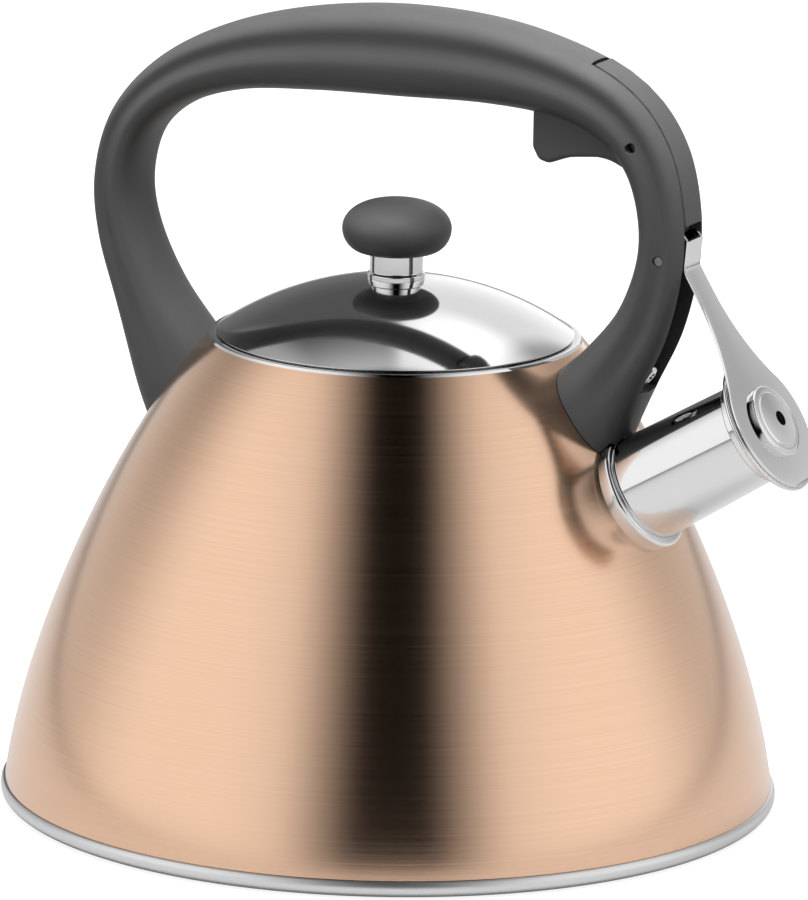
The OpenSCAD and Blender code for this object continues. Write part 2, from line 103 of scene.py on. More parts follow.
# any node at all: its type, its settings, then values or links for its inputs
def makeNode(tree, kind, values=None, output=0, **settings):
    node = tree.nodes.new(kind)
    for key, value in settings.items():
        setattr(node, key, value)
    for key, value in (values or {}).items():
        if isinstance(value, Wire):
            tree.links.new(value.socket, node.inputs[key])
        else:
            node.inputs[key].default_value = value
    return Wire(tree, node.outputs[output])


def newMaterial(name):
    material = bpy.data.materials.new(name)
    material.use_nodes = True
    tree = material.node_tree
    tree.nodes.clear()
    return material, tree


def finishMaterial(tree, shader):
    out = tree.nodes.new("ShaderNodeOutputMaterial")
    tree.links.new(shader.socket, out.inputs["Surface"])


# object coordinates stretched by three factors, then noise
def stretchedNoise(tree, stretch, detail=2.0, rough=0.5):
    place = makeNode(tree, "ShaderNodeTexCoord", output=3)
    mapped = makeNode(tree, "ShaderNodeMapping", {"Vector": place, "Scale": stretch})
    return makeNode(tree, "ShaderNodeTexNoise", {"Vector": mapped, "Scale": 1.0, "Detail": detail,
                                                "Roughness": rough})


def tinted(tree, amount, dark, light):
    return makeNode(tree, "ShaderNodeMix", {"Factor": amount, 6: (*dark, 1), 7: (*light, 1)}, 2,
                    data_type="RGBA")


def bumped(tree, height, distance, strength=1.0):
    return makeNode(tree, "ShaderNodeBump", {"Height": height, "Distance": distance, "Strength": strength})


# lacquer over steel brushed round the body: streaks are noise squeezed in height
def makeLacquer():
    look = {"dark": (0.70, 0.45, 0.30), "light": (0.84, 0.565, 0.405), "streaks": (9, 9, 2600),
            "clouds": (14, 14, 9), "rough": 0.175, "coat": 0.3, "coatRough": 0.16}
    material, tree = newMaterial("copper lacquer")
    streaks = stretchedNoise(tree, look["streaks"], 3)
    clouds = stretchedNoise(tree, look["clouds"], 2)
    shader = makeNode(tree, "ShaderNodeBsdfPrincipled", {
        "Base Color": tinted(tree, streaks * 0.7 + clouds * 0.3, look["dark"], look["light"]),
        "Metallic": 1.0, "Roughness": streaks * 0.08 + (look["rough"] - 0.04),
        "Coat Weight": look["coat"], "Coat Roughness": look["coatRough"],
        "Normal": bumped(tree, streaks, 0.00001, 0.35)})
    finishMaterial(tree, shader)
    return material


# mirror steel: a breath of haze that comes and goes
def makePolished():
    look = {"shade": (0.76, 0.76, 0.765), "haze": (60, 60, 60), "fine": (900, 900, 900), "rough": 0.05}
    material, tree = newMaterial("polished steel")
    haze = stretchedNoise(tree, look["haze"], 3)
    fine = stretchedNoise(tree, look["fine"], 2)
    shader = makeNode(tree, "ShaderNodeBsdfPrincipled", {
        "Base Color": tinted(tree, haze, tuple(c * 0.97 for c in look["shade"]), look["shade"]),
        "Metallic": 1.0, "Roughness": haze * 0.05 + look["rough"],
        "Normal": bumped(tree, fine, 0.000004, 0.2)})
    finishMaterial(tree, shader)
    return material


# satin steel: turned streaks, noise squeezed in height
def makeSatin(name="satin steel", shade=(0.74, 0.74, 0.75), rough=0.34, stretch=(30, 30, 3000)):
    material, tree = newMaterial(name)
    streaks = stretchedNoise(tree, stretch, 3)
    shader = makeNode(tree, "ShaderNodeBsdfPrincipled", {
        "Base Color": tinted(tree, streaks, tuple(c * 0.86 for c in shade), shade),
        "Metallic": 1.0, "Roughness": streaks * 0.12 + (rough - 0.06),
        "Normal": bumped(tree, streaks, 0.00001, 0.4)})
    finishMaterial(tree, shader)
    return material


# soft plastic: fine moulded grain, faint broad mottling
def makeSoftTouch():
    look = {"dark": (0.020, 0.020, 0.0203), "light": (0.031, 0.031, 0.0314), "grain": (2400, 2400, 2400),
            "mottle": (130, 130, 130), "rough": 0.5}
    material, tree = newMaterial("soft touch plastic")
    grain = stretchedNoise(tree, look["grain"], 3, 0.6)
    mottle = stretchedNoise(tree, look["mottle"], 3, 0.6)
    shader = makeNode(tree, "ShaderNodeBsdfPrincipled", {
        "Base Color": tinted(tree, grain * 0.55 + mottle * 0.45, look["dark"], look["light"]),
        "Roughness": grain * 0.16 + (look["rough"] - 0.06), "Specular IOR Level": 0.5,
        "Normal": bumped(tree, grain, 0.00006, 0.55)})
    finishMaterial(tree, shader)
    return material


finishes = {"copper_lacquer": makeLacquer(), "polished_steel": makePolished(), "satin_steel": makeSatin(),
            "soft_touch": makeSoftTouch(),
            "heat_aluminium": makeSatin("rolled aluminium", (0.70, 0.70, 0.72), 0.42, (900, 20, 900)),
            # pin steel: satin steel made dark as painted shade, standing for the shadow in the pin holes
            "pin": makeSatin("pin steel darkened as painted shade", (0.22, 0.22, 0.225), 0.42, (1500, 1500, 1500)),
            "spring_steel": makeSatin("spring wire", (0.45, 0.45, 0.47), 0.22, (1500, 1500, 1500))}
print("finishes made")


# the faces of a grid of rows by columns, either way round closed or open
def gridFaces(rows, columns, closeRows, closeColumns):
    i = np.arange(rows if closeRows else rows - 1)[:, None]
    j = np.arange(columns if closeColumns else columns - 1)[None, :]
    below, beside = (i + 1) % rows, (j + 1) % columns
    corners = [i * columns + j, i * columns + beside, below * columns + beside, below * columns + j]
    return np.stack(np.broadcast_arrays(*corners), axis=-1).reshape(-1, 4)


# mesh object from points in metres; doubles merged, faces turned outwards, edges sharper than the angle kept
def meshObject(name, points, faces, caps=(), sharp=32.0):
    mesh = bpy.data.meshes.new(name)
    everyFace = faces.tolist() + list(caps)
    mesh.from_pydata(np.asarray(points, float).reshape(-1, 3), [], everyFace)
    work = bmesh.new()
    work.from_mesh(mesh)
    bmesh.ops.remove_doubles(work, verts=work.verts, dist=2e-7)
    bmesh.ops.recalc_face_normals(work, faces=work.faces)
    work.to_mesh(mesh)
    work.free()
    piece = bpy.data.objects.new(name, mesh)
    bpy.context.scene.collection.objects.link(piece)
    smoothPiece(piece, sharp)
    return piece


def smoothPiece(piece, sharp=32.0):
    piece.data.shade_smooth()
    piece.data.set_sharp_from_angle(angle=math.radians(sharp))


# point grid: x = r cos a, y = r sin a, z = z, for a profile of (r, z) in mm
def turnedGrid(profile, around):
    angle = np.linspace(0, 2 * np.pi, around, endpoint=False)
    radius, height = profile[:, :1], profile[:, 1:2]
    return np.stack([radius * np.cos(angle), radius * np.sin(angle), height + 0 * angle], axis=2)


# a closed or pole-to-pole profile turned round its axis, optionally laid in the spout's frame
def turnedPiece(name, profile, closed=True, around=160, onSpout=False, sharp=32.0):
    profile = np.asarray(profile, float)
    grid = turnedGrid(profile, around)
    if onSpout:
        grid = toSpout(grid)
    return meshObject(name, grid * mm, gridFaces(len(profile), around, closed, True), sharp=sharp)


# corners (r, z, fillet) joined by straight runs and fillet arcs, as a closed outline
def filleted(corners, steps=5):
    outline = []
    count = len(corners)
    for k in range(count):
        here = np.array(corners[k][:2], float)
        before = np.array(corners[k - 1][:2], float) - here
        after = np.array(corners[(k + 1) % count][:2], float) - here
        fillet = corners[k][2] if len(corners[k]) > 2 else 0
        before /= np.linalg.norm(before)
        after /= np.linalg.norm(after)
        half = math.acos(max(-1, min(1, float(before @ after)))) / 2
        if fillet <= 0 or abs(half - math.pi / 2) < 0.01:
            outline.append(here)
            continue
        middle = here + (before + after) / np.linalg.norm(before + after) * fillet / math.sin(half)
        start = here + before * fillet / math.tan(half) - middle
        end = here + after * fillet / math.tan(half) - middle
        first = math.atan2(start[1], start[0])
        sweep = (math.atan2(end[1], end[0]) - first + math.pi) % (2 * math.pi) - math.pi
        for angle in np.linspace(first, first + sweep, steps + 1):
            outline.append(middle + fillet * np.array([math.cos(angle), math.sin(angle)]))
    return np.array(outline)


# outline in the X-Z plane, in mm, carried from y0 to y1 and closed
def prism(name, outline, y0, y1, sharp=32.0):
    outline = np.asarray(outline, float)
    count = len(outline)
    rows = [np.stack([outline[:, 0], np.full(count, y), outline[:, 1]], axis=1) for y in (y0, y1)]
    caps = [list(range(count)), list(range(count, 2 * count))]
    return meshObject(name, np.stack(rows) * mm, gridFaces(2, count, False, True), caps, sharp)


def arc(middle, radius, first, last, steps=12):
    a = np.radians(np.linspace(first, last, steps))
    return np.asarray(middle) + radius * np.stack([np.cos(a), np.sin(a)], axis=1)


# takes each cutter's shape out of the piece, then removes the cutter
def cutAway(piece, cutters, sharp=32.0):
    for cutter in cutters:
        change = piece.modifiers.new("cut", "BOOLEAN")
        change.operation, change.solver, change.object = "DIFFERENCE", "MANIFOLD", cutter
        depsgraph = bpy.context.evaluated_depsgraph_get()
        done = bpy.data.meshes.new_from_object(piece.evaluated_get(depsgraph))
        piece.modifiers.clear()
        piece.data = done
        bpy.data.objects.remove(cutter)
    smoothPiece(piece, sharp)


# a piece's finish, the body that it rides on and the CAD nodes that it stands for
def dress(piece, body, slotName, *replaced):
    piece.data.materials.clear()
    piece.data.materials.append(finishes[slotName])
    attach(piece, body)
    if replaced:
        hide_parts(*replaced)


# body: a dome on a Bezier curve, its steel 0.8 thick
dome = {"foot": (108.8, 5.2), "low": (104.0, 44.05), "high": (79.0, 101.94), "edge": (52.6, 133.0),
        "steel": 0.8}
spout = {"root": (77.205, 97.9), "tilt": 31.5, "length": 42.5, "rootR": 15.2, "tipR": 14.2, "steel": 0.9,
         "sunk": 4.0, "straight": 1.0, "ringR": 17.5, "ringBead": 1.15, "ringUp": 0.4}
spoutTilt = math.radians(spout["tilt"])
spoutAxis = np.array([math.cos(spoutTilt), math.sin(spoutTilt)])
plateUp = np.array([-math.sin(spoutTilt), math.cos(spoutTilt)])


# spout's frame: local z runs along the spout, local x points down across it
def toSpout(points):
    x, y, u = points[..., 0], points[..., 1], points[..., 2]
    return np.stack([spout["root"][0] + u * spoutAxis[0] - x * plateUp[0], y,
                     spout["root"][1] + u * spoutAxis[1] - x * plateUp[1]], axis=-1)


# B(t) = (1-t)^3 A + 3(1-t)^2 t B + 3(1-t) t^2 C + t^3 D, pushed inwards along its normal
def domeCurve(t, inwards=0.0):
    a, b, c, d = (np.array(dome[k]) for k in ("foot", "low", "high", "edge"))
    t = np.asarray(t, float)[:, None]
    place = (1 - t) ** 3 * a + 3 * (1 - t) ** 2 * t * b + 3 * (1 - t) * t * t * c + t ** 3 * d
    slope = 3 * (1 - t) ** 2 * (b - a) + 6 * (1 - t) * t * (c - b) + 3 * t * t * (d - c)
    slope /= np.linalg.norm(slope, axis=1, keepdims=True)
    return place + inwards * np.stack([-slope[:, 1], slope[:, 0]], axis=1)


def domeRadius(height):
    curve = domeCurve(np.linspace(0, 1, 400))
    return np.interp(height, curve[:, 1], curve[:, 0])


def domeSolid(gap=0.0):
    curve = domeCurve(np.linspace(0, 1, 110), -gap)
    profile = np.vstack([[[0, curve[0, 1]]], curve, [[0, curve[-1, 1]]]])
    return turnedPiece("dome space", profile, closed=False, around=200)


def spoutCylinder(name, radius, start, end):
    return turnedPiece(name, [(0, start), (radius, start), (radius, end), (0, end)], False, 128, True)


def makeBody():
    outer = domeCurve(np.linspace(0, 1, 96))
    inner = domeCurve(np.linspace(1, 0, 48), dome["steel"])
    body = turnedPiece("body", np.vstack([outer, inner]), around=240)
    cutAway(body, [spoutCylinder("spout opening", spout["rootR"], -15, 15)], 40)
    dress(body, "root", "copper_lacquer", "body_shell")


makeBody()
print("body made")

# base: a pan with a rolled bead; the dome's foot stands in the rebate behind the bead
base = {"beadMiddle": (107.2, 3.1), "bead": 2.8, "rebate": [(109.0, 5.1), (107.9, 5.05), (107.6, 5.4)],
        "wall": [(105.9, 5.35), (105.5, 3.9)], "floorR": 104.6, "floorTop": 3.2, "underR": 104.4,
        "floorUnder": 2.2}


def makeBase():
    bead = arc(base["beadMiddle"], base["bead"], -160, 62, 40)
    top, under = base["floorTop"], base["floorUnder"]
    floor = [(base["floorR"], top), (0, top), (0, under), (base["underR"], under)]
    profile = np.vstack([bead[:-4], base["rebate"], base["wall"], floor])  # the rebate cuts the bead short
    dress(turnedPiece("basePan", profile, around=240, sharp=40), "root", "satin_steel", "base_pan")


makeBase()

# neck ring: the lip welded inside the dome's top edge
neck = {"mouth": 47.0, "lip": 0.8, "under": 129.3, "shoulder": 131.6, "seat": [(52.1, 132.3), (52.6, 133.0)],
        "edgeR": 52.2, "top": 133.8}


def makeNeck():
    mouth, lipR, top = neck["mouth"], neck["mouth"] + neck["lip"], neck["top"]
    profile = filleted([(mouth, neck["under"]), (lipR, neck["under"]), (lipR, neck["shoulder"], 0.5),
                        *neck["seat"], (neck["edgeR"], top, 0.3), (mouth, top, 0.35)])
    dress(turnedPiece("neckRing", profile, around=200), "root", "polished_steel", "neck_ring")


makeNeck()

# lid: a cap of a sphere with its rim turned in, and the wall that centres it
lid = {"rimR": 50.4, "rimZ": 134.5, "rise": 15.5, "steel": 0.8, "hole": 2.1, "skirtR": 46.4,
       "skirtDepth": 8.0, "skirtSteel": 0.6, "skirtGap": 0.1, "flangeIn": 1.6,
       "hem": ((0.02, 0.16), (0.12, 0.32), (0.27, 0.44), (0.45, 0.5), (0.66, 0.48), (0.9, 0.36))}
lidBallR = (lid["rimR"] ** 2 + lid["rise"] ** 2) / (2 * lid["rise"])
lidTop = lid["rimZ"] + lid["rise"]
lidBallZ = lidTop - lidBallR


# z = centre + sqrt(R^2 - r^2), on the ball or a little under it
def lidHeight(radius, under=0.0):
    return lidBallZ + np.sqrt((lidBallR - under) ** 2 - np.square(radius))


def makeLidDome():
    first, last = math.asin(lid["hole"] / lidBallR), math.asin(lid["rimR"] / lidBallR)
    outerR = np.sin(np.linspace(first, last, 60)) * lidBallR
    innerR = np.linspace(lid["rimR"] - 1.2, lid["hole"], 30)
    hem = [(lid["rimR"] - inwards, lid["rimZ"] - down) for inwards, down in lid["hem"]]
    profile = np.vstack([np.stack([outerR, lidHeight(outerR)], 1), hem,
                         np.stack([innerR, lidHeight(innerR, lid["steel"])], 1)])
    dress(turnedPiece("lidDome", profile, around=240, sharp=50), "lid", "polished_steel", "lid_dome")


def makeLidSkirt():
    seat, wall = neck["top"] + lid["skirtGap"], lid["skirtSteel"]
    low = seat - lid["skirtDepth"]
    skirtR, flangeR = lid["skirtR"], lid["rimR"] - lid["flangeIn"]
    profile = filleted([(skirtR - wall, low, 0.25), (skirtR, low, 0.25), (skirtR, seat), (flangeR, seat, 0.2),
                        (flangeR, seat + wall, 0.2), (skirtR - wall, seat + wall, 0.5)])
    dress(turnedPiece("lidSkirt", profile, around=200), "lid", "satin_steel", "lid_skirt")


makeLidDome()
makeLidSkirt()

# knob: chrome collar with a turned groove, and the plastic grip on top of it
knob = {"bore": 2.1, "collarR": 8.1, "collarH": 7.4, "stepH": 1.7, "grooveR": 7.45, "grooveH": 2.3,
        "waist": 9.1, "wideR": 15.4, "height": 15.0, "bulge": 0.45, "crown": 0.8, "screwR": 2.0,
        "screwDeep": 8.5}


# grip: a quarter ellipse under its widest ring, and r = R cos(a)^0.8 over it
def makeKnob():
    z = lidTop + knob["collarH"]
    bore, foot = knob["bore"], knob["collarR"]
    low = float(lidHeight(foot))
    collar = filleted([(bore, float(lidHeight(bore))), (foot, low), (foot, low + knob["stepH"], 0.35),
                       (knob["grooveR"], low + knob["grooveH"], 0.3), (knob["grooveR"], z), (bore, z)])
    dress(turnedPiece("knobCollar", collar, around=128), "lid", "polished_steel", "knob_collar")
    wideZ = z + knob["bulge"] * knob["height"]
    a = np.linspace(-np.pi / 2, 0, 26)
    under = np.stack([knob["waist"] + (knob["wideR"] - knob["waist"]) * np.cos(a),
                      wideZ + (wideZ - z) * np.sin(a)], 1)
    a = np.linspace(0, np.pi / 2, 40)[1:]
    over = np.stack([knob["wideR"] * np.clip(np.cos(a), 0, 1) ** knob["crown"],
                     wideZ + (z + knob["height"] - wideZ) * np.sin(a)], 1)
    over[-1, 0] = 0
    screwTop = z + knob["screwDeep"]
    hole = [(knob["screwR"], z), (knob["screwR"], screwTop), (0, screwTop)]
    profile = np.vstack([over[::-1], under[::-1], hole])
    dress(turnedPiece("knobGrip", profile, closed=False, around=128, sharp=50), "lid", "soft_touch", "knob")


makeKnob()
print("base, neck, lid and knob made")


def makeSpoutTube():
    low, straight, end, steel = -spout["sunk"], spout["straight"], spout["length"], spout["steel"]
    wide, slim = spout["rootR"], spout["tipR"]
    profile = filleted([(wide - steel, low), (wide, low), (wide, straight, 3), (slim, end, 0.35),
                        (slim - steel, end, 0.35), (wide - steel, straight, 3)], 6)
    dress(turnedPiece("spoutTube", profile, onSpout=True), "root", "polished_steel", "spout_tube")


# bead round the root: an arc over the ring, its two feet carried down to the dome all the way round
def makeSpoutRing():
    around, bead, bore = 160, spout["ringBead"], spout["rootR"]
    angle = np.linspace(0, 2 * np.pi, around, endpoint=False)
    overR, overU = arc((spout["ringR"] - bead, spout["ringUp"]), bead, 0, 100, 14).T
    radius = np.concatenate([[spout["ringR"]], overR, [bore + 0.35, bore, bore]])[:, None]
    height = np.concatenate([[0], overU, [1.5, 1.2, 0]])[:, None]
    grid = np.stack([radius * np.cos(angle), radius * np.sin(angle), height + 0 * angle], 2)
    for foot in (0, len(radius) - 1):
        low, high = np.full(around, -9.0), np.full(around, 3.0)
        for _ in range(18):  # halves the span in which the foot meets the dome
            middle = (low + high) / 2
            grid[foot, :, 2] = middle
            x, y, z = toSpout(grid[foot]).T
            inside = np.hypot(x, y) < domeRadius(z) - 0.1
            low, high = np.where(inside, middle, low), np.where(inside, high, middle)
    ring = meshObject("spoutRing", toSpout(grid) * mm, gridFaces(len(radius), around, True, True), sharp=40)
    dress(ring, "root", "polished_steel", "spout_ring")


makeSpoutTube()
makeSpoutRing()

# the hinges' places come from the part's own joints
hingeAt = {joint["name"]: np.array(joint["pos_m"])[[0, 2]] / mm
           for joint in frame["record"]["behaviour"]["joints"] if joint["type"] == "hinge"}
triggerHub, armHub = hingeAt["trigger_squeeze"], hingeAt["cap_open"]

# whistle cap: cup over the spout's mouth, teardrop plate on it, whistle dome on that
cap = {"floor": 43.9, "thick": 0.8, "hole": 3.0, "flangeR": 20.0, "skirtIn": 15.1, "skirtOut": 16.0,
       "skirt": 4.0, "whistleR": 10.5, "whistleRise": 3.0, "wall": 1.6, "shell": 0.6, "steam": 2.2,
       "grooveR": 8.5, "grooveDeep": 0.16, "grooveWide": 0.3}
arm = {"plateR": 19.0, "steel": 1.0, "stripHalf": 5.0, "edge": 0.22, "bendR": 4.0, "flankUnder": 8.0,
       "bend": (89.8595, 162.8), "fold": (90.7682, 171.0), "link": (85.696, 174.578), "hubR": 3.0,
       "linkR": 2.1}
plateBack = np.array(spout["root"]) + (cap["floor"] + cap["thick"]) * spoutAxis
linkRest, bendPoint, foldPoint = (np.array(arm[k]) for k in ("link", "bend", "fold"))


def makeCup():
    f, top, drop = cap["floor"], cap["floor"] + cap["thick"], cap["floor"] - cap["skirt"]
    rim, inner, outer = cap["flangeR"], cap["skirtIn"], cap["skirtOut"]
    profile = filleted([(cap["hole"], f), (cap["hole"], top), (rim, top, 0.45), (rim, f - 0.25, 0.45),
                        (rim - 1.1, f - 0.25, 0.2), (rim - 1.4, f, 0.2), (outer, f, 0.4), (outer, drop, 0.4),
                        (inner, drop, 0.4), (inner, f, 0.4)], 6)
    dress(turnedPiece("capCup", profile, onSpout=True), "whistle_arm", "polished_steel", "cap_cup")


# crown: a shallow ball with a ring sunk near its edge, u = top - R + sqrt(R^2 - r^2) - d exp(-((r-c)/w)^2)
def makeWhistle():
    u0 = cap["floor"] + cap["thick"] + arm["steel"]
    outR, wallTop = cap["whistleR"], u0 + cap["wall"]
    edgeR, rise = outR - 0.4, cap["whistleRise"] - cap["wall"]
    ball = (edgeR ** 2 + rise ** 2) / (2 * rise)

    def crown(r, sink):
        ringDip = sink * np.exp(-((r - cap["grooveR"]) / cap["grooveWide"]) ** 2)
        return u0 + cap["whistleRise"] - ball + np.sqrt(ball ** 2 - r ** 2) - ringDip
    over = np.linspace(cap["steam"], edgeR, 60)
    under = np.linspace(edgeR - cap["shell"], cap["steam"], 20)
    wall = filleted([(edgeR, wallTop), (outR, wallTop - 0.35, 0.3), (outR, u0), (outR - cap["shell"], u0),
                     (outR - cap["shell"], wallTop - 0.8)])
    profile = np.vstack([np.stack([over, crown(over, cap["grooveDeep"])], 1), wall[1:],
                         np.stack([under, crown(under, 0) - cap["shell"]], 1)])
    whistle = turnedPiece("whistleDome", profile, onSpout=True, sharp=45)
    dress(whistle, "whistle_arm", "polished_steel", "whistle_dome")


makeCup()
makeWhistle()


# half width of the arm at a distance s up from the plate's centre: round end, concave flank, straight strip
def armHalfWidth(s, bendUp):
    r, w, neckS = arm["plateR"], arm["stripHalf"], bendUp - arm["flankUnder"]
    flank = (neckS ** 2 + w ** 2 - r ** 2) / (2 * (r - w))
    touch = r * neckS / math.hypot(neckS, w + flank)
    roundEnd = np.sqrt(np.clip(r * r - s * s, 0, None))
    concave = w + flank - np.sqrt(np.clip(flank ** 2 - (s - neckS) ** 2, 0, None))
    return np.where(s < touch, roundEnd, np.where(s < neckS, concave, w))


# the arm's mid line, which way it faces, and its half width: up the plate, round the bend and up the strip
def armPath():
    bendUp = (bendPoint[1] - plateBack[1]) / plateUp[1]
    half, bendR = arm["steel"] / 2, arm["bendR"]
    strip = (foldPoint - bendPoint) / np.linalg.norm(foldPoint - bendPoint)
    stripOut = np.array([strip[1], -strip[0]])
    corner = (spoutAxis + stripOut) / np.linalg.norm(spoutAxis + stripOut)
    corner = bendPoint + corner * half / float(corner @ spoutAxis)
    turn = math.acos(float(plateUp @ strip))
    run = bendR * math.tan(turn / 2)
    roundEnd = -arm["plateR"] * np.cos(np.linspace(0, np.pi / 2, 40))
    s = np.concatenate([roundEnd, np.linspace(0, bendUp - run, 60)[1:]])
    flat = corner + (s - bendUp)[:, None] * plateUp
    around = np.linspace(0, turn, 12)[1:, None]
    centre = corner - run * plateUp + bendR * spoutAxis
    bent = centre + bendR * (-np.cos(around) * spoutAxis + np.sin(around) * plateUp)
    upper = bent[-1] + np.linspace(0, 1, 8)[1:, None] * (foldPoint + half * stripOut - bent[-1])
    outwards = np.vstack([np.tile(spoutAxis, (len(flat), 1)),
                          np.cos(around) * spoutAxis - np.sin(around) * plateUp,
                          np.tile(stripOut, (len(upper), 1))])
    width = np.concatenate([armHalfWidth(s, bendUp), np.full(len(bent) + len(upper), arm["stripHalf"])])
    return np.vstack([flat, bent, upper]), outwards, width


# arm: a bar with rounded edges along armPath, and an ear folded back on each side of the strip
def makeArm():
    path, outwards, width = armPath()
    half, edge = arm["steel"] / 2, arm["edge"]
    a = np.linspace(0, np.pi / 2, 5)
    sideY = np.concatenate([np.cos(a), -np.cos(a[::-1]), -np.cos(a), np.cos(a[::-1])])
    sideN = np.concatenate([np.sin(a), np.sin(a[::-1]), -np.sin(a), -np.sin(a[::-1])])
    signY, signN = np.repeat([1, -1, -1, 1], 5), np.repeat([1, 1, -1, -1], 5)
    soft = np.minimum(edge, width)[:, None]
    y = signY * (width[:, None] - soft) + soft * sideY
    n = signN * (half - edge) + edge * sideN
    grid = np.stack([path[:, :1] + n * outwards[:, :1], y, path[:, 1:] + n * outwards[:, 1:]], axis=2)
    rows, columns = y.shape
    caps = [list(range((rows - 1) * columns, rows * columns)), list(range(columns))]
    bar = meshObject("arm", grid * mm, gridFaces(rows, columns, False, True), caps, 40)
    cutAway(bar, [spoutCylinder("whistle opening", cap["whistleR"] - 2.5, 40, 50)], 40)
    dress(bar, "whistle_arm", "polished_steel", "arm_plate")
    ear = np.vstack([arc(armHub, arm["hubR"], 165, 300), [bendPoint + (0.3, 0.4)], [foldPoint + (0.5, 0)],
                     arc(linkRest, arm["linkR"], 20, 180)])
    for name, y0 in (("nearEar", -arm["stripHalf"]), ("farEar", arm["stripHalf"] - arm["steel"])):
        dress(prism(name, ear, y0, y0 + arm["steel"]), "whistle_arm", "polished_steel")


makeArm()
print("spout, cap and arm made")

# handle: stations of x, height, half thickness, half width, joined by a smooth curve from the rear foot;
# pocket points are x and height too, and channels run between stations at a depth under the outer face
handle = {"footZ": 100.0, "spreadX": 0.993787, "power": 0.80,
          "valley": 0.15, "valleyWidth": 0.30, "valleyAt": 0.22,
          "stations": [(-57, 0, 16, 15), (-66.8, 17, 13.6, 14.2), (-77.8, 37.5, 8.8, 12.8),
                       (-85.2, 56, 7.1, 12.1), (-86.8, 72, 6.6, 12), (-81.8, 88, 6.8, 12),
                       (-69, 100.4, 7.9, 12), (-50, 108.6, 9.6, 12), (-26, 113, 11.7, 12), (2, 115, 12.8, 12),
                       (30, 114.7, 11.8, 12), (54, 110.8, 9.9, 12), (70, 103.6, 9, 12), (79.6, 92.6, 8, 12),
                       (84, 78, 7.3, 12), (84, 63, 7.4, 12), (79, 46, 8.6, 12.3), (70.1, 31.5, 10.6, 13.2),
                       (60.8, 18.5, 14, 14.6), (50, 2, 17.5, 15.2)],
          "pocketOver": ((43.8, 85), (43.8, 105.5), (46, 111.6), (52, 112), (66, 107.5), (74, 103)),
          "pocketUnder": ((80.5, 90), (76, 85)), "pocketHalf": 7.5, "hubRoom": 5.9, "pinHole": 1.45,
          "bodyGap": 0.15, "ringRoom": 17.7, "tubeRoom": 15.4, "slotHalf": 5.6, "slotDeep": 13.6,
          "slot": (12.85, 15.4), "slotEnd": (15.39, 16.95, 13.6, 6), "cover": (11.25, 14.6), "coverDeep": 2.2,
          "screwsAt": (16.75, 2.1)}


def onHandle(x, z):
    return np.array([x * handle["spreadX"], handle["footZ"] + z])


stations = np.array([(*onHandle(x, z), halfT, halfW) for x, z, halfT, halfW in handle["stations"]])


# Catmull-Rom curve through the stations, s counting stations from the rear foot
def alongHandle(s):
    s = np.atleast_1d(np.asarray(s, float))
    i = np.clip(np.floor(s).astype(int), 0, len(stations) - 2)
    u = (s - i)[:, None]
    a, b = stations[np.maximum(i - 1, 0)], stations[i]
    c, d = stations[i + 1], stations[np.minimum(i + 2, len(stations) - 1)]
    bow = 2 * a - 5 * b + 4 * c - d
    return 0.5 * (2 * b + (c - a) * u + bow * u * u + (3 * b - a - 3 * c + d) * u ** 3)


# unit normals of that curve, away from the loop's middle
def handleOutward(s):
    last = len(stations) - 1
    ahead = alongHandle(np.minimum(s + 0.02, last))[:, :2] - alongHandle(np.maximum(s - 0.02, 0))[:, :2]
    ahead /= np.linalg.norm(ahead, axis=1, keepdims=True)
    return np.stack([-ahead[:, 1], ahead[:, 0]], axis=1)


# points a fixed depth under the handle's outer face
def underOuter(s0, s1, depth0, depth1=None, count=16):
    s = np.linspace(s0, s1, count)
    depth = np.linspace(depth0, depth0 if depth1 is None else depth1, count)
    q = alongHandle(s)
    return q[:, :2] + (q[:, 2] - depth)[:, None] * handleOutward(s)


def handleChannel(name, s0, s1, depth0, depth1, half):
    above = 6
    outline = np.vstack([underOuter(s0, s1, -above), underOuter(s0, s1, depth0, depth1)[::-1]])
    return prism(name, outline, -half, half)


def crossHole(name, middle, radius, half=30):
    return prism(name, arc(middle, radius, 0, 345, 24), -half, half)


# a turned profile that stands on the handle's centreline, pointing out at station s
def atStation(name, s, profile, sharp=32.0):
    q, out = alongHandle(s)[0], handleOutward(np.array([float(s)]))[0]
    across = np.array([-out[1], out[0]])
    grid = turnedGrid(np.asarray(profile, float), 48)
    place = q[:2] + grid[..., 2:] * out + grid[..., :1] * across
    points = np.stack([place[..., 0], grid[..., 1], place[..., 1]], axis=2)
    return meshObject(name, points * mm, gridFaces(len(profile), 48, False, True), sharp=sharp)


def screwRoom(s):
    return atStation("screw room", s, [(0, 3.9), (3.6, 3.9), (3.6, 24), (0, 24)])


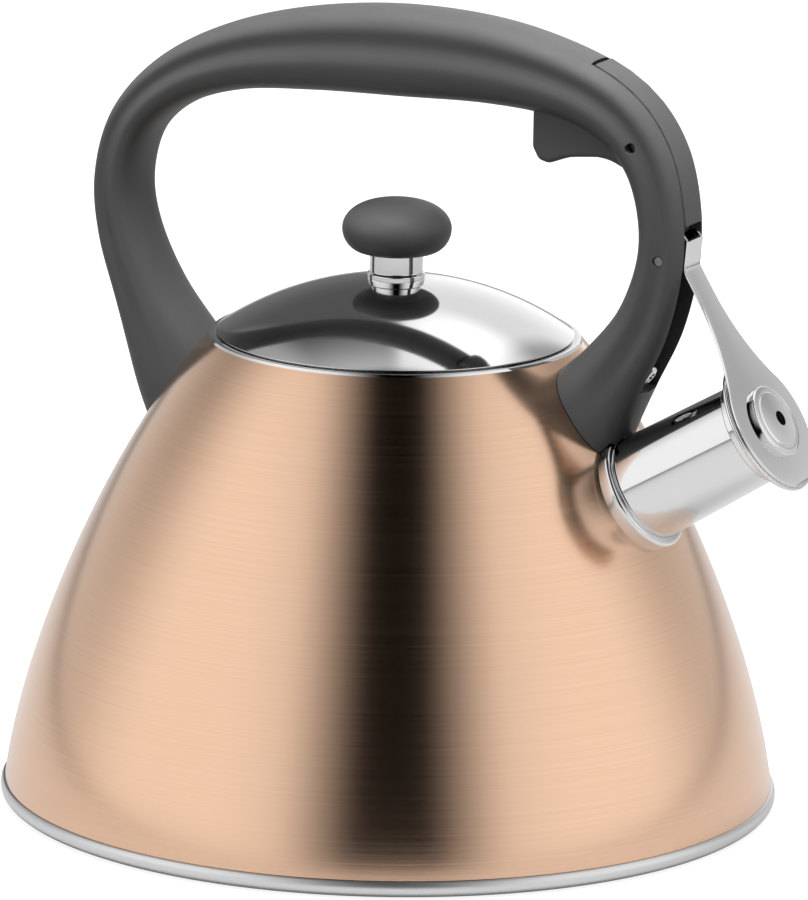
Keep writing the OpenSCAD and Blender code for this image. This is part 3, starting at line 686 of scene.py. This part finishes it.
# section: y = w |cos a|^p (1 - v exp(-(n/c)^2)), n = t |sin a|^p, swept along the curve
def makeHandle():
    rows, columns = 300, 72
    s = np.linspace(0, len(stations) - 1, rows)
    q, out = alongHandle(s), handleOutward(s)
    a = np.linspace(0, 2 * np.pi, columns, endpoint=False)
    cosA, sinA = np.cos(a), np.sin(a)
    n = np.sign(sinA) * np.abs(sinA) ** handle["power"]
    fade = np.clip(np.minimum(s - 1.0, len(stations) - 2.0 - s) / 2.0, 0, 1)[:, None]
    hollow = 1 - fade * handle["valley"] * np.exp(-((n - handle["valleyAt"]) / handle["valleyWidth"]) ** 2)
    y = q[:, 3:4] * np.sign(cosA) * np.abs(cosA) ** handle["power"] * hollow
    n = q[:, 2:3] * n
    grid = np.stack([q[:, :1] + n * out[:, :1], y, q[:, 1:2] + n * out[:, 1:]], axis=2)
    caps = [list(range(columns)), list(range((rows - 1) * columns, rows * columns))]
    grip = meshObject("handleGrip", grid * mm, gridFaces(rows, columns, False, True), caps, 40)
    pocket = np.vstack([[onHandle(*p) for p in handle["pocketOver"]], [triggerHub + (5.6, 0)],
                        [onHandle(*p) for p in handle["pocketUnder"]]])
    deep, half, room = handle["slotDeep"], handle["slotHalf"], handle["pocketHalf"]
    coverDeep, pinHole = handle["coverDeep"], handle["pinHole"]
    cutters = [domeSolid(handle["bodyGap"]), spoutCylinder("ring room", handle["ringRoom"], -12, 2.3),
               spoutCylinder("tube room", handle["tubeRoom"], -12, 28),
               prism("trigger pocket", pocket, -room, room),
               crossHole("hub room", triggerHub, handle["hubRoom"], room),
               handleChannel("slot", *handle["slot"], deep, deep, half),
               handleChannel("slot end", *handle["slotEnd"], half),
               handleChannel("cover groove", *handle["cover"], coverDeep, coverDeep, half),
               crossHole("trigger pin hole", triggerHub, pinHole), crossHole("arm pin hole", armHub, pinHole)]
    cutters += [screwRoom(s) for s in handle["screwsAt"]]
    cutAway(grip, cutters, 36)
    dress(grip, "root", "soft_touch", "handle")


makeHandle()
print("handle made")

# dished pan-head screws, their heads a little under the handle's outer face
screw = {"shank": 2.0, "foot": -4.5, "head": 3.3, "thick": 2.0, "round": 1.3, "under": 1.3, "socket": 1.7,
         "dish": 1.0}


def makeScrews():
    frontAt, rearAt = handle["screwsAt"]
    for name, s, replaced in (("frontScrew", frontAt, ["handle_screws"]), ("rearScrew", rearAt, [])):
        top = float(alongHandle(s)[0, 2]) - screw["under"]
        r, low, soft = screw["head"], top - screw["thick"], screw["round"]
        edge = arc((r - soft, top - soft), soft, 0, 90, 8)
        floor = top - screw["dish"]
        socket = [(screw["socket"], top - 0.05), (screw["socket"] - 0.2, floor), (0, floor)]
        shank = [(0, screw["foot"]), (screw["shank"], screw["foot"]), (screw["shank"], low), (r, low)]
        profile = np.vstack([shank, edge, socket])
        dress(atStation(name, s, profile, 50), "root", "polished_steel", *replaced)


# trigger: a hooked pad with soft corners, and the forked tail that reaches the link pin
trigger = {"padHalf": 6.9, "edge": 1.3, "tailHalf": 3.0, "tailNarrow": 2.0, "forkR": 2.7, "forkLength": 3.6,
           "past": 0.5, "slotR": 1.5, "slot": (-1.4, 0.2),
           "pad": [(44.6, 104.5, 1.5), (44.6, 93, 3), (46.5, 89.6, 2.5), (49.6, 88.7, 3), (56, 91.1, 14),
                   (67, 92.2, 14), (75.2, 88.4, 2.5), (81, 96.5, 3), (77, 101.2, 3), (68, 102.8, 5),
                   (58, 104.6, 5)]}


def addBevel(piece, width, segments, angle=30):
    bevel = piece.modifiers.new("soft edges", "BEVEL")
    bevel.width, bevel.segments, bevel.limit_method = width * mm, segments, "ANGLE"
    bevel.angle_limit = math.radians(angle)


def makeTriggerPad():
    corners = [(*onHandle(x, z), fillet) for x, z, fillet in trigger["pad"]]
    pad = prism("triggerPad", filleted(corners, 6), -trigger["padHalf"], trigger["padHalf"])
    addBevel(pad, trigger["edge"], 4)
    dress(pad, "trigger", "soft_touch", "trigger")


# tail: a strip from the hub to the link pin, widened round a slot in which the pin slides
def makeTriggerTail():
    down = (linkRest - triggerHub) / np.linalg.norm(linkRest - triggerHub)
    beside = trigger["tailNarrow"] * np.array([-down[1], down[0]])
    turn = math.degrees(math.atan2(down[1], down[0]))
    shoulder = linkRest - trigger["forkLength"] * down
    tip = arc(linkRest + trigger["past"] * down, trigger["forkR"], turn - 90, turn + 90, 14)
    outline = np.vstack([[triggerHub - beside, shoulder - beside], tip,
                         [shoulder + beside, triggerHub + beside]])
    tail = prism("triggerTail", outline, -trigger["tailHalf"], trigger["tailHalf"])
    near, far = (linkRest + reach * down for reach in trigger["slot"])
    opening = np.vstack([arc(far, trigger["slotR"], turn - 90, turn + 90, 10),
                         arc(near, trigger["slotR"], turn + 90, turn + 270, 10)])
    cutAway(tail, [prism("link slot", opening, -5, 5)])
    dress(tail, "trigger", "soft_touch")


# cover strip: a copy of the CAD node with its doubles merged, flat faces joined and corners bevelled
def makeCover():
    mesh = frame["nodes"]["handle_cover"].data.copy()
    work = bmesh.new()
    work.from_mesh(mesh)
    bmesh.ops.remove_doubles(work, verts=work.verts, dist=1e-6)
    bmesh.ops.dissolve_limit(work, angle_limit=math.radians(1.5), verts=work.verts, edges=work.edges)
    work.to_mesh(mesh)
    work.free()
    cover = bpy.data.objects.new("handle_cover_soft", mesh)
    bpy.context.scene.collection.objects.link(cover)
    smoothPiece(cover, 35)
    addBevel(cover, 0.4, 3, 35)
    dress(cover, "root", "soft_touch", "handle_cover")


makeScrews()
makeTriggerPad()
makeTriggerTail()
makeCover()

# hinge pins that end a little below the grip's rounded sides; their steel is drawn darker than satin steel as
# painted shade for the holes they sit in
pin = {"radius": 1.4, "soft": 0.3, "triggerHalf": 8.2, "armHalf": 10.3}


def makePin(name, node, middle, half):
    r, soft = pin["radius"], pin["soft"]
    outline = filleted([(0, -half), (r, -half, soft), (r, half, soft), (0, half)], 4)
    grid = turnedGrid(outline, 40)
    points = np.stack([middle[0] + grid[..., 0], grid[..., 2], middle[1] + grid[..., 1]], axis=2)
    piece = meshObject(name, points * mm, gridFaces(len(outline), 40, False, True), sharp=50)
    dress(piece, "root", "satin_steel", node)
    # the dark pin steel is painted shade: satin steel darkened for the shadow the pins sit in
    piece.data.materials[0] = finishes["pin"]


makePin("triggerPin", "trigger_pin", triggerHub, pin["triggerHalf"])
makePin("armPin", "arm_pin", armHub, pin["armHalf"])
print("small pieces made")

# every CAD node that is still shown gets its finish
for part in frame["record"]["subparts"]:
    shown = frame["nodes"][part["node"]]
    shown.data.materials.clear()
    shown.data.materials.append(finishes[part["material_slot"]])

# studio: pale floor and a white surround that dims behind the kettle, with a dark band over the camera
studio = {"floor": 0.10, "floorHalf": 6000, "glow": 0.16, "shown": 0.72, "sides": 1.14, "behind": 0.42,
          "low": 0.30, "band": 0.0, "bandHalf": 0.17, "bandSoft": 0.42, "bandAt": 0.028, "overRight": 0.85,
          "leftPanel": 0.75, "rightPanel": 0.5, "topLamp": 235, "topAt": (0.1, -0.1, 1.8),
          "topSize": 1.2, "frontLamp": 22, "frontAt": (0.55, -1.13, 1.7), "frontSize": 0.9,
          "lampsAim": (0, 0, 0.1)}


# pale matt floor that shows whiter than it shines on the kettle
def makeFloorFinish():
    shade, glow = (studio["floor"],) * 3, studio["glow"]
    material, tree = newMaterial("pale floor")
    seen = makeNode(tree, "ShaderNodeLightPath")
    surface = makeNode(tree, "ShaderNodeBsdfPrincipled", {
        "Base Color": (*shade, 1), "Roughness": 0.9, "Specular IOR Level": 0.1, "Emission Strength": 1.0,
        "Emission Color": tinted(tree, seen, (glow,) * 3, (glow + studio["shown"],) * 3)})
    finishMaterial(tree, surface)
    return material


def addFloor():
    half, top, under = studio["floorHalf"], -0.05, -20
    floor = prism("floor", [(-half, under), (half, under), (half, top), (-half, top)], -half, half)
    floor.data.materials.append(makeFloorFinish())


# brightness over directions: dark band across |side| < bandHalf from the front to past overhead, bright
# flanks, dimmer behind, brighter again overhead to the right, and a dark and a light panel at the back
def addSurround():
    world = bpy.data.worlds.new("surround")
    bpy.context.scene.world = world
    world.use_nodes = True
    tree = world.node_tree
    tree.nodes.clear()
    turn = math.radians(cameraPlace["turn"])
    place = makeNode(tree, "ShaderNodeTexCoord", output=0)

    def along(x, y, z):
        return makeNode(tree, "ShaderNodeVectorMath", {0: place, 1: (x, y, z)}, 1, operation="DOT_PRODUCT")

    def ease(value, start, end, first=0.0, last=1.0):
        return makeNode(tree, "ShaderNodeMapRange", {"Value": value, "From Min": start, "From Max": end,
                                                     "To Min": first, "To Max": last},
                        interpolation_type="SMOOTHSTEP")
    side = along(math.cos(turn), math.sin(turn), 0)
    front = along(math.sin(turn), -math.cos(turn), 0)
    height = along(0, 0, 1)
    spread = side.math("ABSOLUTE", side - studio["bandAt"]) - ease(height, 0.6, 0.0, 0.0, 0.03)
    inner, outer = studio["bandHalf"] * 0.75, studio["bandHalf"] + studio["bandSoft"]
    band = ease(spread, inner, outer, studio["band"], 1.0)
    ahead = ease(front, -0.20, -0.12)
    flank = ease(spread, 0.3, 0.85, 0.85, studio["sides"])
    behind = ease(height, 0.0, 0.5, studio["behind"] + studio["low"], studio["behind"])
    overRight = ease(side, -0.1, 0.3) * ease(height, 0.6, 0.85) * studio["overRight"]
    leftPanel = ease(side, -0.45, -0.32) * ease(side, 0.03, -0.04)
    rightPanel = ease(side, 0.0, 0.05) * ease(side, 0.45, 0.35)
    back = (behind + overRight) * (1 - leftPanel * studio["leftPanel"]) + rightPanel * studio["rightPanel"]
    reach = ease(front, -0.62, 0.12)
    level = (back * (1 - reach) + flank * reach) * (band * ahead + (1 - ahead))
    seen = makeNode(tree, "ShaderNodeLightPath")
    strength = level * (1 - seen) + seen  # plain white where the camera sees it
    light = makeNode(tree, "ShaderNodeBackground", {"Color": (1, 1, 1, 1), "Strength": strength})
    out = tree.nodes.new("ShaderNodeOutputWorld")
    tree.links.new(light.socket, out.inputs["Surface"])


def addLight(name, place, size, power):
    data = bpy.data.lights.new(name, "AREA")
    data.size, data.energy = size, power
    lamp = bpy.data.objects.new(name, data)
    bpy.context.scene.collection.objects.link(lamp)
    lamp.location = place
    lamp.rotation_mode = "QUATERNION"
    lamp.rotation_quaternion = (Vector(place) - Vector(studio["lampsAim"])).to_track_quat("Z", "Y")
    lamp.visible_glossy = lamp.visible_camera = False


addFloor()
addSurround()
addLight("topSoftbox", studio["topAt"], studio["topSize"], studio["topLamp"])
addLight("frontSoftbox", studio["frontAt"], studio["frontSize"], studio["frontLamp"])
bpy.context.scene.view_settings.view_transform = "Standard"
print("stage set")
